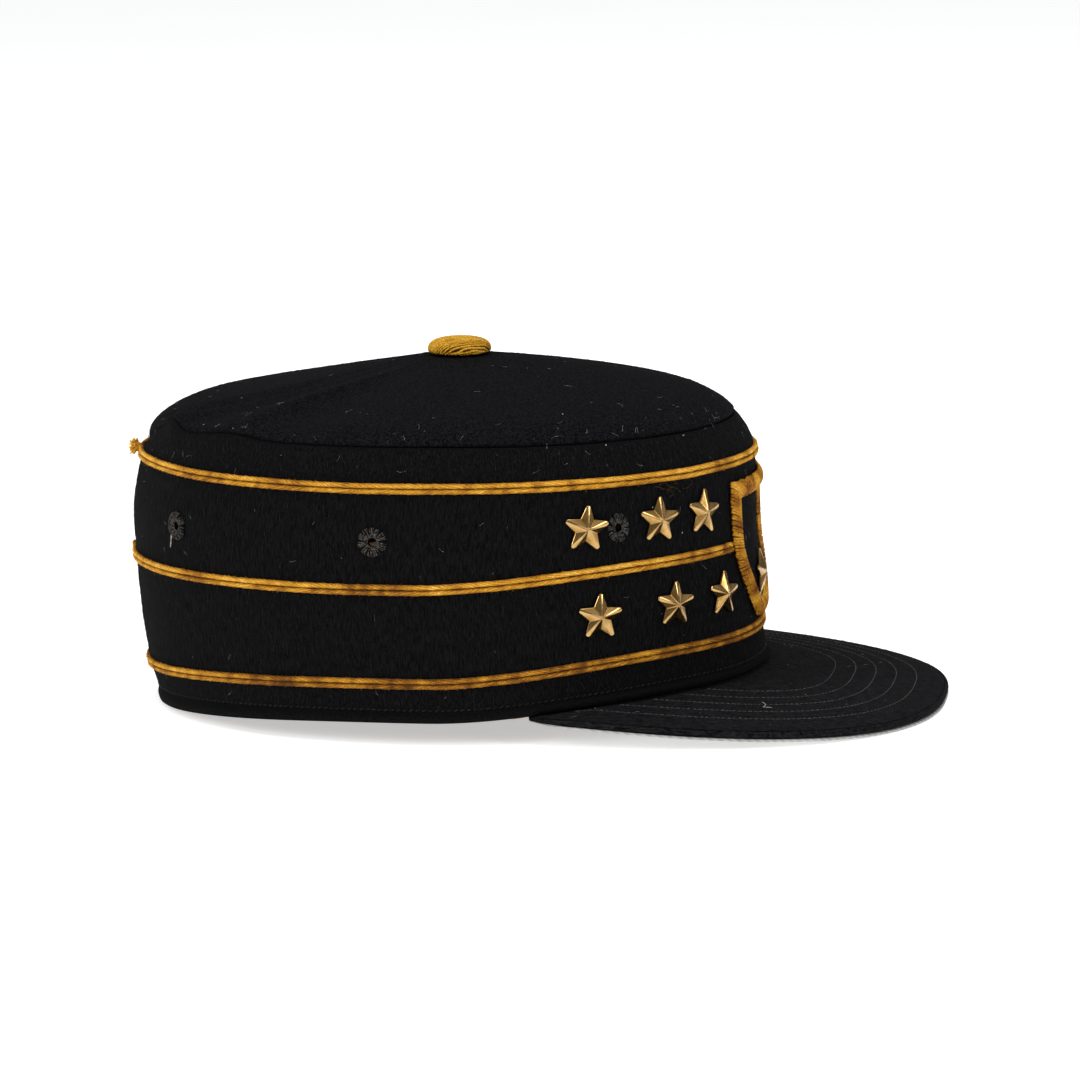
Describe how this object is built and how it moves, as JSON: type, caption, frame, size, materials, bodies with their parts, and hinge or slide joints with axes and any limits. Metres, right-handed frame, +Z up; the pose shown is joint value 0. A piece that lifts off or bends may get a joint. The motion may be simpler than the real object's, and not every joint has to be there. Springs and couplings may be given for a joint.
{
  "type": "wool pillbox cap",
  "caption": "Black wool pillbox cap with a flat visor, gold braid stripes, brass stars, stitched eyelets and a covered top button; it is worn on the head.",
  "frame": {"origin": "on the surface that the cap rests on, below the middle of its overall box", "axes": "+X towards the visor at the front, +Y to the wearer's left, +Z up"},
  "size_m": [0.2838, 0.1796, 0.1251],
  "materials": {
    "wool_felt": "fulled black wool with a short nap",
    "gold_yarn": "gold cotton braid and satin stitch, brown where soiled",
    "brass": "pressed brass, satin, with brown patina",
    "black_thread": "matt buttonhole thread",
    "grey_cloth": "plain pale grey twill",
    "tan_leather": "smooth vegetable-tanned leather"
  },
  "bodies": {
    "root": {"crown_side": "wool_felt", "crown_top": "wool_felt", "top_button": "gold_yarn", "stripe_top": "gold_yarn", "stripe_bottom": "gold_yarn", "stripe_middle_left": "gold_yarn", "stripe_middle_right": "gold_yarn", "stripe_fray": "gold_yarn", "front_emblem": "gold_yarn", "eyelet_right_1": "black_thread", "eyelet_right_2": "black_thread", "eyelet_right_3": "black_thread", "eyelet_left_1": "black_thread", "eyelet_left_2": "black_thread", "eyelet_left_3": "black_thread", "star_upper_right_1": "brass", "star_upper_right_2": "brass", "star_upper_right_3": "brass", "star_upper_left_1": "brass", "star_upper_left_2": "brass", "star_upper_left_3": "brass", "star_lower_right_1": "brass", "star_lower_right_2": "brass", "star_lower_right_3": "brass", "star_lower_left_1": "brass", "star_lower_left_2": "brass", "star_lower_left_3": "brass", "star_front": "brass", "visor_top": "wool_felt", "visor_under": "grey_cloth", "sweatband": "tan_leather"}
  },
  "joints": []
}
